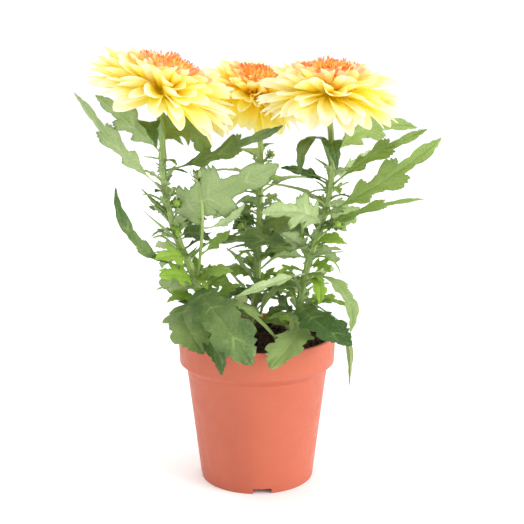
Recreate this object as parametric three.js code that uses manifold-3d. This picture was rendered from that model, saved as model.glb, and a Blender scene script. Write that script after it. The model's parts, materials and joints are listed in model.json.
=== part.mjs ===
// A pot chrysanthemum: three leafy stems with a double bloom each, in a filled nursery pot.
// Millimetres, +Z up. The origin is the middle of the pot's foot, on the surface it stands on.
// Bearings are degrees round +Z from +X, and rises are degrees above the horizontal.

import * as THREE from "three";
import { mergeVertices } from "three/addons/utils/BufferGeometryUtils.js";
import Module from "manifold-3d";

const wasm = await Module();
wasm.setup();

// ---- Driving dimensions ----

const GAP = 0.3;

const POT = {
  height: 112, bandRadius: 58.6, bandBottom: 91, stepRadius: 54, stepBottom: 86.5, innerRise: 1,
  footRadius: 43, footRing: 3.6, footDepth: 5, footRound: 0.5, floor: 2, wall: 1.5, sides: 28,
};
const LIP = { radius: 60, depth: 4, flare: 0.7, width: 2.8, insideDepth: 1.5, round: 0.7 };
const NOTCH = { count: 4, width: 14, bearing: -85 };
const DRAIN = { count: 4, radius: 4.5, ring: 24, sides: 9 };
const SOIL = { level: 106, edgeDrop: 1.5, wallGap: 0.42, spokes: 24, rings: [40, 18] };
const BUMPS = { height: 1.6, wave: [0.19, 0.16], slantHeight: 1, slantWave: 0.33 };

const STEM = { foot: 74, straightTop: 90, radius: 2.6, topRadius: 1.9, sides: 6, rings: 13 };
const HOLE = { radius: 3.9, bottom: STEM.foot - GAP, sides: 10 };
const CUP = { radius: 6.5, height: 5, rim: 1.5, neck: 2, sides: 10 };
const LEAF = { thickness: 0.8, stalkWidth: 2.6, stalkThickness: 1.8, stalkStart: 0.03, fold: 9 };
const PETAL = { thickness: 0.75, fold: 14, rootRadius: 5, layerStep: 1.6 };

// Outline forms: [place of the midrib point, place of the edge point, half-width], as parts of
// the whole length and of the greatest half-width. The root comes before the first row and the
// tip after the last one.
const LOBED = [
  [0.2, 0.2, 0.08], [0.27, 0.38, 0.8], [0.4, 0.44, 0.42], [0.44, 0.6, 1], [0.53, 0.68, 0.72],
  [0.62, 0.67, 0.36], [0.74, 0.86, 0.42],
];
const BROAD = [
  [0.07, 0.07, 0.1], [0.14, 0.18, 0.74], [0.3, 0.32, 0.56], [0.34, 0.45, 1], [0.42, 0.54, 0.84],
  [0.54, 0.57, 0.34], [0.72, 0.84, 0.42],
];
const FAN = [
  [0.1, 0.1, 0.1], [0.2, 0.28, 0.68], [0.34, 0.36, 0.58], [0.38, 0.52, 1], [0.5, 0.57, 0.74],
  [0.6, 0.78, 0.94], [0.76, 0.92, 0.5],
];
const TOOTHED = [[0.22, 0.22, 0.12], [0.38, 0.45, 0.92], [0.5, 0.53, 0.6], [0.64, 0.73, 0.74]];
const PLAIN = [[0.3, 0.32, 0.8], [0.6, 0.62, 1]];
const PETAL_FORM = [[0.56, 0.56, 1], [0.88, 0.87, 0.82]];
const SHORT_PETAL_FORM = [[0.74, 0.77, 1]];

// Layers of a bloom, outermost first.
const LAYERS = [
  { count: 12, rise: 4, droop: 26, length: 48, width: 15, form: PETAL_FORM },
  { count: 11, rise: 9, droop: 20, length: 49, width: 16, form: SHORT_PETAL_FORM },
  { count: 10, rise: 17, droop: 4, length: 45, width: 15, form: SHORT_PETAL_FORM },
  { count: 9, rise: 21, droop: -4, length: 37, width: 15, form: SHORT_PETAL_FORM },
  { count: 8, rise: 28, droop: -6, length: 30, width: 13, form: SHORT_PETAL_FORM },
];
// The part of its layer's droop that a petal has: least on the far side of its bloom's sag.
const SLACK = { least: 0.2, most: 1.5 };
const JITTER = { bearing: 8, rise: 6, length: 3 };

// The dome inside a bloom and the one under its crown: [radius, height over the dome's bottom].
const CORE = { bottom: -3, sides: 9, profile: [[12, 0], [22, 5], [24, 10], [19, 17.5]] };
const CORE_TOP = CORE.bottom + CORE.profile.at(-1)[1];
const CROWN = { sides: 9, profile: [[10, 0], [14.5, 3], [15, 6], [10, 9.5]] };
const FLORETS = { count: 14, start: 19.5, length: 14.6, spread: 39, radius: 2.8, rootPart: 0.6, sides: 3 };
const GOLDEN_ANGLE = 137.5;

// A bloom's axis leans by lean degrees to the bearing toward. Its petals droop most at the bearing
// sag, and limp multiplies all their droop.
const BLOOMS = [
  {
    name: "left", centre: [-66, -33, 288], lean: 19, toward: -14, sag: -42, limp: 1, scale: 1, turn: 10,
    seed: 11,
  },
  {
    name: "right", centre: [50, -29, 286], lean: 8, toward: -75, sag: -80, limp: 1.1, scale: 0.95, turn: 14,
    seed: 23,
  },
  {
    name: "centre", centre: [-2, 48, 286], lean: 20, toward: -60, sag: -90, limp: 1.5, scale: 0.86, turn: 0,
    seed: 37,
  },
];

// Points of each stem, from the soil up to below its bloom.
const STEMS = {
  left: [
    [-28, -10, 104], [-38, -12, 132], [-48, -16, 163], [-60, -20, 195], [-66, -25, 230], [-66, -31, 262],
  ],
  right: [
    [30, -4, 104], [32, -6, 135], [38, -13, 168], [49, -18, 205], [53, -22, 230], [52, -27, 262],
  ],
  centre: [
    [-6, 26, 104], [0, 30, 139], [1, 36, 165], [2, 42, 192], [3, 48, 230], [2, 47, 260],
  ],
};

// Leaves of each stem, from the top down: z is the height where the stalk leaves the stem, and
// from is the root of a leaf on a side shoot. Along a leaf the rise falls by droop, the bearing
// turns by sweep, and the blade, rolled about its midrib by roll, turns on by twist.
const LEFT_LEAVES = [
  { z: 247, bearing: 96, rise: 83, droop: 176, sweep: -113, length: 66, width: 36, roll: -60, form: LOBED },
  { z: 248, bearing: -127, rise: 39, sweep: -33, length: 66, width: 21, roll: -60, form: LOBED },
  { z: 245, bearing: 182, rise: 8, length: 14, width: 5, form: PLAIN },
  { z: 251, bearing: -146, rise: 92, droop: 175, sweep: 105, length: 60, width: 15, form: PLAIN },
  { z: 242, bearing: -42, rise: 44, droop: 97, length: 17, width: 6, form: PLAIN },
  { z: 236, bearing: -30, rise: 14, droop: -13, sweep: 22, length: 96, width: 24, roll: -42, form: LOBED },
  {
    z: 221, bearing: -153, rise: 41, droop: -15, sweep: -37, length: 94, width: 17, roll: -85, twist: 30,
    form: LOBED,
  },
  { z: 205, bearing: -38, rise: 21, droop: -6, sweep: 25, length: 95, width: 44, roll: 72, form: BROAD },
  { from: [-39, -37, 197], bearing: -9, rise: 3, droop: -55, length: 38, width: 9, roll: 60, form: TOOTHED },
  { z: 196, bearing: 105, rise: 21, droop: -26, sweep: 68, length: 45, width: 9, form: TOOTHED },
  { z: 191, bearing: 80, rise: 30, droop: 68, sweep: -10, length: 62, width: 26, form: TOOTHED },
  { z: 187, bearing: 52, rise: 27, droop: 72, sweep: -22, length: 34, width: 22, roll: -40, form: TOOTHED },
  { z: 184, bearing: -132, rise: 38, droop: -8, sweep: -31, length: 39, width: 8, form: PLAIN },
  { z: 177, bearing: 165, rise: 26, droop: 50, sweep: -42, length: 29, width: 11, roll: -60, form: TOOTHED },
  {
    from: [-40, -30, 177], bearing: 21, rise: 32, droop: -9, length: 28, width: 14, roll: -30,
    form: TOOTHED,
  },
  { z: 169, bearing: -94, rise: 36, droop: 49, sweep: -58, length: 41, width: 22, roll: 40, form: LOBED },
  { z: 166, bearing: -147, rise: 5, droop: -87, sweep: -32, length: 89, width: 13, roll: 60, form: TOOTHED },
  { z: 163, bearing: 110, rise: 29, droop: 76, sweep: 15, length: 64, width: 30, form: LOBED },
  { z: 155, bearing: -56, rise: 40, droop: 47, sweep: 37, length: 39, width: 15, roll: -45, form: TOOTHED },
  { z: 156, bearing: 46, rise: 0, droop: 40, sweep: -24, length: 40, width: 24, roll: -40, form: TOOTHED },
  { z: 154, bearing: -119, rise: 33, droop: 36, sweep: -16, length: 41, width: 24, roll: 45, form: LOBED },
  { z: 148, bearing: 169, rise: 8, droop: 10, sweep: -32, length: 35, width: 24, roll: -80, form: TOOTHED },
  { z: 149, bearing: -86, rise: 6, droop: 60, sweep: 55, length: 97, width: 36, roll: -24, form: FAN },
  { z: 142, bearing: -32, rise: 9, droop: 72, sweep: 32, length: 72, width: 23, form: LOBED },
  { z: 137, bearing: -138, rise: 17, droop: 72, sweep: 111, length: 74, width: 32, roll: -24, form: FAN },
  { z: 126, bearing: -111, rise: 33, droop: 112, sweep: 77, length: 80, width: 19, form: FAN },
];
const RIGHT_LEAVES = [
  { z: 251, bearing: -146, rise: 60, droop: 168, sweep: 39, length: 56, width: 11, form: PLAIN },
  { z: 242, bearing: 64, rise: 41, droop: 52, sweep: -58, length: 91, width: 24, roll: -60, form: LOBED },
  { z: 235, bearing: -111, rise: 100, droop: 185, sweep: 40, length: 64, width: 14, form: PLAIN },
  { z: 237, bearing: -143, rise: 30, length: 19, width: 5, form: PLAIN },
  { z: 235, bearing: -28, rise: 18, droop: 20, length: 14, width: 5, form: PLAIN },
  { z: 234, bearing: 58, rise: -9, droop: -52, sweep: -19, length: 52, width: 22, roll: 60, form: TOOTHED },
  { z: 225, bearing: 169, rise: 36, droop: 33, sweep: 23, length: 39, width: 15, roll: 30, form: TOOTHED },
  { z: 224, bearing: -44, rise: 40, droop: 18, sweep: 54, length: 82, width: 16, roll: -60, form: LOBED },
  { z: 210, bearing: -141, rise: 39, droop: 39, sweep: -21, length: 57, width: 18, form: TOOTHED },
  { z: 206, bearing: 76, rise: 18, droop: 51, length: 66, width: 28, form: TOOTHED },
  { z: 204, bearing: -52, rise: 26, droop: -14, sweep: 71, length: 104, width: 25, roll: -65, form: LOBED },
  { z: 192, bearing: -88, rise: 41, droop: 50, sweep: -91, length: 71, width: 29, roll: -70, form: LOBED },
  { z: 192, bearing: 42, rise: 14, droop: -6, length: 46, width: 22, roll: -60, form: TOOTHED },
  { z: 185, bearing: -32, rise: 44, droop: 45, sweep: 45, length: 87, width: 12, roll: -35, form: LOBED },
  { z: 183, bearing: 142, rise: 49, droop: 88, sweep: 10, length: 39, width: 24, roll: 30, form: TOOTHED },
  { z: 177, bearing: -71, rise: 53, droop: 75, sweep: 35, length: 40, width: 15, roll: -40, form: TOOTHED },
  { z: 176, bearing: 183, rise: 23, droop: 38, sweep: -21, length: 75, width: 20, roll: 40, form: LOBED },
  { z: 174, bearing: -141, rise: 43, droop: 13, sweep: -20, length: 31, width: 18, roll: -50, form: TOOTHED },
  { z: 168, bearing: -37, rise: 51, droop: 125, length: 35, width: 4, form: PLAIN },
  { z: 167, bearing: 62, rise: 19, droop: 58, sweep: 10, length: 66, width: 30, form: LOBED },
  { z: 159, bearing: -120, rise: 7, droop: 31, sweep: -52, length: 66, width: 11, roll: -75, form: TOOTHED },
  { z: 157, bearing: -19, rise: 17, droop: 128, sweep: -26, length: 66, width: 16, roll: -20, form: TOOTHED },
  { z: 152, bearing: -45, rise: 35, droop: 101, sweep: -59, length: 40, width: 14, form: TOOTHED },
  { z: 146, bearing: -150, rise: 40, droop: 139, sweep: -20, length: 48, width: 17, form: TOOTHED },
  { z: 139, bearing: -14, rise: -15, droop: 90, sweep: 98, length: 91, width: 7, roll: 30, form: TOOTHED },
  { z: 138, bearing: -90, rise: -8, droop: 14, sweep: 62, length: 72, width: 28, roll: -20, form: FAN },
  { z: 128, bearing: -150, rise: 10, droop: 30, sweep: -14, length: 26, width: 13, form: TOOTHED },
  { z: 121, bearing: -84, rise: 5, droop: 31, sweep: -46, length: 80, width: 30, form: FAN },
];
const CENTRE_LEAVES = [
  { z: 246, bearing: 60, rise: 30, droop: 40, length: 22, width: 7, form: PLAIN },
  { z: 236, bearing: 110, rise: 34, droop: 50, length: 46, width: 24, form: TOOTHED },
  { z: 222, bearing: 200, rise: 36, droop: 50, length: 44, width: 22, form: TOOTHED },
  { z: 212, bearing: 35, rise: 34, droop: 50, length: 56, width: 28, form: TOOTHED },
  {
    z: 197, bearing: -121, rise: 72, droop: 115, sweep: -28, length: 34, width: 20, roll: -30,
    form: TOOTHED,
  },
  { z: 186, bearing: 130, rise: 30, droop: 60, length: 62, width: 30, form: TOOTHED },
  { z: 188, bearing: -132, rise: 35, droop: 77, sweep: -24, length: 28, width: 18, roll: 30, form: TOOTHED },
  { z: 174, bearing: -13, rise: 79, droop: 115, sweep: -26, length: 45, width: 28, roll: -45, form: LOBED },
  { z: 168, bearing: 75, rise: 24, droop: 70, length: 60, width: 30, form: LOBED },
  { z: 159, bearing: -13, rise: 70, droop: 118, sweep: -32, length: 39, width: 22, roll: -30, form: TOOTHED },
  { z: 150, bearing: 160, rise: 24, droop: 70, length: 56, width: 28, form: TOOTHED },
  { z: 140, bearing: -146, rise: 60, droop: 17, sweep: -14, length: 44, width: 20, form: TOOTHED },
  { z: 138, bearing: 40, rise: 24, droop: 90, length: 66, width: 32, form: TOOTHED },
  { z: 136, bearing: -142, rise: 25, droop: 61, sweep: -15, length: 41, width: 18, roll: 20, form: TOOTHED },
  { z: 133, bearing: 0, rise: 59, droop: 97, sweep: -39, length: 37, width: 18, roll: -30, form: TOOTHED },
  { z: 128, bearing: 105, rise: 34, droop: 110, length: 68, width: 34, form: LOBED },
];
const LEAVES = { left: LEFT_LEAVES, right: RIGHT_LEAVES, centre: CENTRE_LEAVES };

// Side shoots: points from the stem to the bud, with the radius of the bud.
const SHOOTS = {
  left: [
    { points: [[-44, -14, 152], [-40, -32, 180], [-38, -37, 206], [-40, -36, 230]], bud: 4.5 },
    { points: [[-63, -22, 208], [-58, -32, 213]], bud: 3.5 },
  ],
  right: [
    { points: [[46, -16, 193], [55, -30, 198]], bud: 3.5 },
    { points: [[38, -13, 168], [34, -16, 181], [33, -18, 204]], bud: 2.5 },
  ],
  centre: [
    { points: [[1, 35, 159], [-5, 28, 176], [-10, 26, 186]], bud: 3.5 },
    { points: [[3, 49, 234], [9, 46, 241]], bud: 3 },
  ],
};
const SHOOT = { radius: 1.1, sides: 5 };
const BUD = { profile: [0.4, 0.95, 1, 0.35], sunk: 1, sides: 6 };

const GREEN = new THREE.MeshStandardMaterial({ color: 0x6f9a50, roughness: 0.6, metalness: 0 });
const YELLOW = new THREE.MeshStandardMaterial({ color: 0xfbe98a, roughness: 0.7, metalness: 0 });
const RED = new THREE.MeshStandardMaterial({ color: 0xe8663c, roughness: 0.7, metalness: 0 });
const TERRACOTTA = new THREE.MeshStandardMaterial({ color: 0xd0765c, roughness: 0.75, metalness: 0 });
const EARTH = new THREE.MeshStandardMaterial({ color: 0x2e231c, roughness: 0.95, metalness: 0 });

// ---- Helpers ----

const MERGE_DISTANCE = 1e-4;
const MIDRIB_STEPS = 12;
const HALVINGS = 24;
const rad = THREE.MathUtils.degToRad;

function makeRandom(seed) {
  let state = seed;
  return () => {
    state = (state * 1664525 + 1013904223) % 4294967296;
    return state / 4294967296;
  };
}

function toSolid(geometry) {
  geometry.deleteAttribute("normal");
  geometry.deleteAttribute("uv");
  const merged = mergeVertices(geometry, MERGE_DISTANCE);
  return new wasm.Manifold(new wasm.Mesh({
    numProp: 3,
    vertProperties: new Float32Array(merged.attributes.position.array),
    triVerts: new Uint32Array(merged.index.array),
  }));
}

function toMesh(name, solid, material) {
  const { vertProperties, triVerts } = solid.getMesh();
  const geometry = new THREE.BufferGeometry();
  geometry.setAttribute("position", new THREE.BufferAttribute(vertProperties, 3));
  geometry.setIndex(new THREE.BufferAttribute(triVerts, 1));
  geometry.computeVertexNormals();
  const mesh = new THREE.Mesh(geometry, material);
  mesh.name = name;
  return mesh;
}

function solidFrom(points, faces) {
  const geometry = new THREE.BufferGeometry().setFromPoints(points);
  geometry.setIndex(faces.flat());
  return toSolid(geometry);
}

function fuse(solids) {
  return solids.reduce((whole, next) => whole.add(next));
}

function lathe(profile, sides) {
  const points = profile.map(([radius, z]) => new THREE.Vector2(radius, z));
  return new THREE.LatheGeometry(points, sides).rotateX(Math.PI / 2);
}

function upright(radius, bottom, top, sides, x, y) {
  const geometry = new THREE.CylinderGeometry(radius, radius, top - bottom, sides);
  geometry.rotateX(Math.PI / 2).translate(x, y, (top + bottom) / 2);
  return toSolid(geometry);
}

// ---- A blade: leaf, bract or petal ----

// The heading of a blade's midrib at a part t of its length, and the axes across it.
function headingAt(spec, t) {
  const bearing = rad(spec.bearing + (spec.sweep ?? 0) * t);
  const rise = rad(spec.rise - (spec.droop ?? 0) * t);
  const roll = rad((spec.roll ?? 0) + (spec.twist ?? 0) * t);
  const along = new THREE.Vector3(
    Math.cos(rise) * Math.cos(bearing), Math.cos(rise) * Math.sin(bearing), Math.sin(rise));
  const up = new THREE.Vector3(
    -Math.sin(rise) * Math.cos(bearing), -Math.sin(rise) * Math.sin(bearing), Math.cos(rise));
  const left = new THREE.Vector3(-Math.sin(bearing), Math.cos(bearing), 0);
  const normal = up.clone().multiplyScalar(Math.cos(roll)).addScaledVector(left, Math.sin(roll));
  const side = left.clone().multiplyScalar(Math.cos(roll)).addScaledVector(up, -Math.sin(roll));
  return { along, normal, side };
}

function midribAt(spec, t) {
  const point = new THREE.Vector3(...spec.root);
  const step = (spec.length * t) / MIDRIB_STEPS;
  for (let i = 0; i < MIDRIB_STEPS; i += 1) {
    const { along } = headingAt(spec, (t * (i + 0.5)) / MIDRIB_STEPS);
    point.addScaledVector(along, step);
  }
  return point;
}

// A point of the blade, t along it and x to its left, lifted off its middle surface.
function bladePoint(spec, t, x, lift) {
  const { normal, side } = headingAt(spec, t);
  const fold = rad(spec.fold);
  return midribAt(spec, t)
    .addScaledVector(side, x * Math.cos(fold))
    .addScaledVector(normal, Math.abs(x) * Math.sin(fold) + lift);
}

function blade(spec) {
  const half = spec.thickness / 2;
  const points = [];
  const addPair = (t, x, lift) => {
    points.push(bladePoint(spec, t, x, lift), bladePoint(spec, t, x, -lift));
  };
  addPair(0, 0, half);
  for (const [mid, edge, part, lift = half] of spec.form) {
    const reach = (part * spec.width) / 2;
    addPair(edge, reach, half);
    addPair(mid, 0, lift);
    addPair(edge, -reach, half);
  }
  addPair(1, 0, half);
  return solidFrom(points, bladeFaces(spec.form.length));
}

// Faces of a blade: the root, rows of left, middle and right, and the tip, each as a pair of
// points, upper first.
function bladeFaces(rowCount) {
  const faces = [];
  const at = (row, column) => (1 + row * 3 + column) * 2;
  const root = 0;
  const tip = at(rowCount, 0);
  const last = rowCount - 1;
  const both = (a, b, c) => faces.push([a, b, c], [a + 1, c + 1, b + 1]);
  const rim = (a, b) => faces.push([a, a + 1, b + 1], [a, b + 1, b]);
  both(root, at(0, 1), at(0, 0));
  both(root, at(0, 2), at(0, 1));
  rim(at(0, 0), root);
  rim(root, at(0, 2));
  for (let row = 0; row < last; row += 1) {
    const next = row + 1;
    both(at(row, 0), at(row, 1), at(next, 0));
    both(at(row, 1), at(next, 1), at(next, 0));
    both(at(row, 1), at(row, 2), at(next, 2));
    both(at(row, 1), at(next, 2), at(next, 1));
    rim(at(next, 0), at(row, 0));
    rim(at(row, 2), at(next, 2));
  }
  both(at(last, 0), at(last, 1), tip);
  both(at(last, 1), at(last, 2), tip);
  rim(tip, at(last, 0));
  rim(at(last, 2), tip);
  return faces;
}

// ---- A round shoot: a curve through points with a radius at each of its rings ----

function shoot(curve, radii, sides) {
  const points = [];
  const rings = radii.length;
  const frames = curve.computeFrenetFrames(rings - 1, false);
  for (let ring = 0; ring < rings; ring += 1) {
    const centre = curve.getPointAt(ring / (rings - 1));
    for (let i = 0; i < sides; i += 1) {
      const angle = (2 * Math.PI * i) / sides;
      points.push(centre.clone()
        .addScaledVector(frames.normals[ring], radii[ring] * Math.cos(angle))
        .addScaledVector(frames.binormals[ring], radii[ring] * Math.sin(angle)));
    }
  }
  const faces = [];
  for (let ring = 0; ring + 1 < rings; ring += 1) {
    for (let i = 0; i < sides; i += 1) {
      const a = ring * sides + i;
      const b = ring * sides + ((i + 1) % sides);
      faces.push([a, b, b + sides], [a, b + sides, a + sides]);
    }
  }
  for (let i = 1; i + 1 < sides; i += 1) {
    const end = (rings - 1) * sides;
    faces.push([0, i + 1, i], [end, end + i, end + i + 1]);
  }
  return solidFrom(points, faces);
}

// ---- Pot and soil ----

function wallRadius(z) {
  const { footRadius, stepRadius, stepBottom } = POT;
  return footRadius + ((stepRadius - footRadius) * z) / stepBottom;
}

// [radius, height] from the middle of the floor's underside, round the outside and the lip, to
// the middle of the floor's top.
function potProfile(floorTop) {
  const { height, bandRadius, bandBottom, stepRadius, stepBottom, innerRise, wall } = POT;
  const footInside = POT.footRadius - POT.footRing;
  const lipInside = LIP.radius - LIP.width;
  return [
    [0, POT.footDepth], [footInside - POT.footRound, POT.footDepth], [footInside, 0],
    [POT.footRadius, 0], [stepRadius, stepBottom], [bandRadius, bandBottom],
    [bandRadius + LIP.flare, height - LIP.depth - LIP.flare], [LIP.radius, height - LIP.depth],
    [LIP.radius, height - LIP.round], [LIP.radius - LIP.round, height], [lipInside + LIP.round, height],
    [lipInside, height - LIP.insideDepth], [bandRadius - wall, bandBottom + innerRise],
    [stepRadius - wall, stepBottom + innerRise], [wallRadius(floorTop) - wall, floorTop], [0, floorTop],
  ];
}

function makeNotch(bearing) {
  const geometry = new THREE.BoxGeometry(3 * POT.footRing, NOTCH.width, 2 * (POT.footDepth - 1));
  geometry.translate(POT.footRadius - POT.footRing / 2, 0, 0).rotateZ(rad(bearing));
  return toSolid(geometry);
}

function makeDrain(bearing, floorTop) {
  const x = DRAIN.ring * Math.cos(rad(bearing));
  const y = DRAIN.ring * Math.sin(rad(bearing));
  return upright(DRAIN.radius, POT.footDepth - 1, floorTop + 1, DRAIN.sides, x, y);
}

function makePot() {
  const floorTop = POT.footDepth + POT.floor;
  const body = toSolid(lathe(potProfile(floorTop), POT.sides));
  const cuts = [];
  for (let i = 0; i < NOTCH.count; i += 1) {
    cuts.push(makeNotch(NOTCH.bearing + (360 * i) / NOTCH.count));
  }
  for (let i = 0; i < DRAIN.count; i += 1) {
    cuts.push(makeDrain(NOTCH.bearing + (360 * (i + 0.5)) / DRAIN.count, floorTop));
  }
  return toMesh("pot", body.subtract(fuse(cuts)), TERRACOTTA);
}

function soilBump(x, y) {
  const [waveX, waveY] = BUMPS.wave;
  return BUMPS.height * Math.sin(waveX * x) * Math.cos(waveY * y)
    + BUMPS.slantHeight * Math.sin(BUMPS.slantWave * (x - y));
}

function makeSoil() {
  const bottom = POT.footDepth + POT.floor + GAP;
  const inset = POT.wall + SOIL.wallGap;
  const stepLift = POT.innerRise + SOIL.wallGap;
  const edge = POT.bandRadius - inset;
  const geometry = lathe([
    [0, bottom], [wallRadius(bottom) - inset, bottom], [POT.stepRadius - inset, POT.stepBottom + stepLift],
    [edge, POT.bandBottom + stepLift], [edge, SOIL.level - SOIL.edgeDrop],
    ...SOIL.rings.map((radius) => [radius, SOIL.level]), [0, SOIL.level],
  ], SOIL.spokes);
  const place = geometry.attributes.position;
  for (let i = 0; i < place.count; i += 1) {
    if (place.getZ(i) > SOIL.level - SOIL.edgeDrop / 2) {
      place.setZ(i, SOIL.level + soilBump(place.getX(i), place.getY(i)));
    }
  }
  const holes = Object.values(STEMS).map(([[x, y]]) =>
    upright(HOLE.radius, HOLE.bottom, POT.height, HOLE.sides, x, y));
  return toMesh("soil", toSolid(geometry).subtract(fuse(holes)), EARTH);
}

// ---- Blooms ----

// The frame of a bloom: its origin is the middle of the receptacle and +Z is the bloom's axis.
function bloomFrame(bloom) {
  const toward = rad(bloom.toward);
  const hinge = new THREE.Vector3(-Math.sin(toward), Math.cos(toward), 0);
  return new THREE.Matrix4().makeTranslation(...bloom.centre)
    .multiply(new THREE.Matrix4().makeRotationAxis(hinge, rad(bloom.lean)))
    .multiply(new THREE.Matrix4().makeScale(bloom.scale, bloom.scale, bloom.scale));
}

function placed(solid, frame) {
  return solid.transform(frame.elements);
}

function dome({ profile, sides }, bottom) {
  const shell = profile.map(([radius, height]) => [radius, bottom + height]);
  return toSolid(lathe([[0, bottom], ...shell, [0, shell.at(-1)[1]]], sides));
}

function slack(bloom, bearing) {
  const toward = (1 + Math.cos(rad(bearing - bloom.sag))) / 2;
  return bloom.limp * THREE.MathUtils.lerp(SLACK.least, SLACK.most, toward);
}

function makePetal(bloom, layer, index, bearing, jitter) {
  const x = PETAL.rootRadius * Math.cos(rad(bearing));
  const y = PETAL.rootRadius * Math.sin(rad(bearing));
  return blade({
    ...layer,
    bearing,
    rise: layer.rise + jitter(JITTER.rise),
    droop: layer.droop * slack(bloom, bearing),
    length: layer.length + jitter(JITTER.length),
    root: [x, y, PETAL.layerStep * index],
    fold: PETAL.fold,
    thickness: PETAL.thickness,
  });
}

function makeBloom(bloom) {
  const random = makeRandom(bloom.seed);
  const jitter = (span) => (random() - 0.5) * span;
  const solids = [dome(CORE, CORE.bottom)];
  LAYERS.forEach((layer, index) => {
    for (let i = 0; i < layer.count; i += 1) {
      const bearing = bloom.turn + (360 * (i + 0.5 * index)) / layer.count + jitter(JITTER.bearing);
      solids.push(makePetal(bloom, layer, index, bearing, jitter));
    }
  });
  return toMesh(`bloom_${bloom.name}`, placed(fuse(solids), bloomFrame(bloom)), YELLOW);
}

// The floret with a given number, in a spiral from the middle of the crown outwards.
function makeFloret(number) {
  const polar = rad(FLORETS.spread * Math.sqrt((number + 0.5) / FLORETS.count));
  const bearing = rad(GOLDEN_ANGLE * number);
  const across = Math.sin(polar);
  const out = new THREE.Vector3(across * Math.cos(bearing), across * Math.sin(bearing), Math.cos(polar));
  const along = (distance) => out.clone().multiplyScalar(distance);
  const line = new THREE.LineCurve3(along(FLORETS.start), along(FLORETS.start + FLORETS.length));
  return shoot(line, [FLORETS.radius * FLORETS.rootPart, FLORETS.radius], FLORETS.sides);
}

function makeCrown(bloom) {
  const solids = [dome(CROWN, CORE_TOP + GAP / bloom.scale)];
  for (let i = 0; i < FLORETS.count; i += 1) {
    solids.push(makeFloret(i));
  }
  return toMesh(`crown_${bloom.name}`, placed(fuse(solids), bloomFrame(bloom)), RED);
}

// ---- Leafy stems ----

function stemCurve(bloom) {
  const path = STEMS[bloom.name];
  const [x, y] = path[0];
  const top = new THREE.Vector3(0, 0, CORE.bottom - CUP.height).applyMatrix4(bloomFrame(bloom));
  const points = [[x, y, STEM.foot], [x, y, STEM.straightTop], ...path, top.toArray()];
  return new THREE.CatmullRomCurve3(points.map((point) => new THREE.Vector3(...point)), false, "centripetal");
}

// The point of a stem at height z, found by halving.
function stemPointAt(curve, z) {
  let [low, high] = [0, 1];
  for (let i = 0; i < HALVINGS; i += 1) {
    const middle = (low + high) / 2;
    if (curve.getPointAt(middle).z < z) {
      low = middle;
    } else {
      high = middle;
    }
  }
  return curve.getPointAt(low);
}

// A side shoot with a round bud at its end.
function makeSprig({ points, bud }) {
  const path = points.map((point) => new THREE.Vector3(...point));
  const heading = path.at(-1).clone().sub(path.at(-2)).normalize();
  const radii = Array(2 * path.length - 1).fill(SHOOT.radius);
  const stalk = shoot(new THREE.CatmullRomCurve3(path), radii, SHOOT.sides);
  const start = path.at(-1).clone().addScaledVector(heading, -BUD.sunk);
  const end = start.clone().addScaledVector(heading, 2 * bud);
  return stalk.add(shoot(new THREE.LineCurve3(start, end), BUD.profile.map((part) => part * bud), BUD.sides));
}

function makeLeaf(leaf, root) {
  const stalk = [LEAF.stalkStart, LEAF.stalkStart, LEAF.stalkWidth / leaf.width, LEAF.stalkThickness / 2];
  return blade({
    ...leaf,
    root: [...root],
    form: [stalk, ...leaf.form],
    fold: LEAF.fold,
    thickness: LEAF.thickness,
  });
}

// The green cup under a bloom, in the bloom's frame.
function makeCup(bloom) {
  const top = CORE.bottom - GAP / bloom.scale;
  const foot = top - CUP.height - CUP.neck;
  return toSolid(lathe([
    [0, foot], [STEM.topRadius, foot], [CUP.radius, top - CUP.rim], [CUP.radius, top], [0, top],
  ], CUP.sides));
}

function makeStem(bloom) {
  const curve = stemCurve(bloom);
  const radii = Array.from({ length: STEM.rings }, (_, ring) =>
    THREE.MathUtils.lerp(STEM.radius, STEM.topRadius, ring / (STEM.rings - 1)));
  const cup = placed(makeCup(bloom), bloomFrame(bloom));
  const leaves = LEAVES[bloom.name].map((leaf) => makeLeaf(leaf, leaf.from ?? stemPointAt(curve, leaf.z)));
  const sprigs = SHOOTS[bloom.name].map(makeSprig);
  const stem = shoot(curve, radii, STEM.sides);
  return toMesh(`stem_${bloom.name}`, fuse([stem, cup, ...leaves, ...sprigs]), GREEN);
}

// ---- The whole plant ----

const plant = new THREE.Group();
plant.add(makePot(), makeSoil());
for (const bloom of BLOOMS) {
  plant.add(makeStem(bloom), makeBloom(bloom), makeCrown(bloom));
}

export default plant;
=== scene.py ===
"""A pot chrysanthemum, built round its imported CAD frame: pot, soil, leafy stems, blooms and crowns.

Lengths are millimetres until a mesh is made, with +Z up and the pot's foot on z = 0. Bearings are
degrees round +Z from +X, and rises are degrees above the horizontal.
"""

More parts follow.
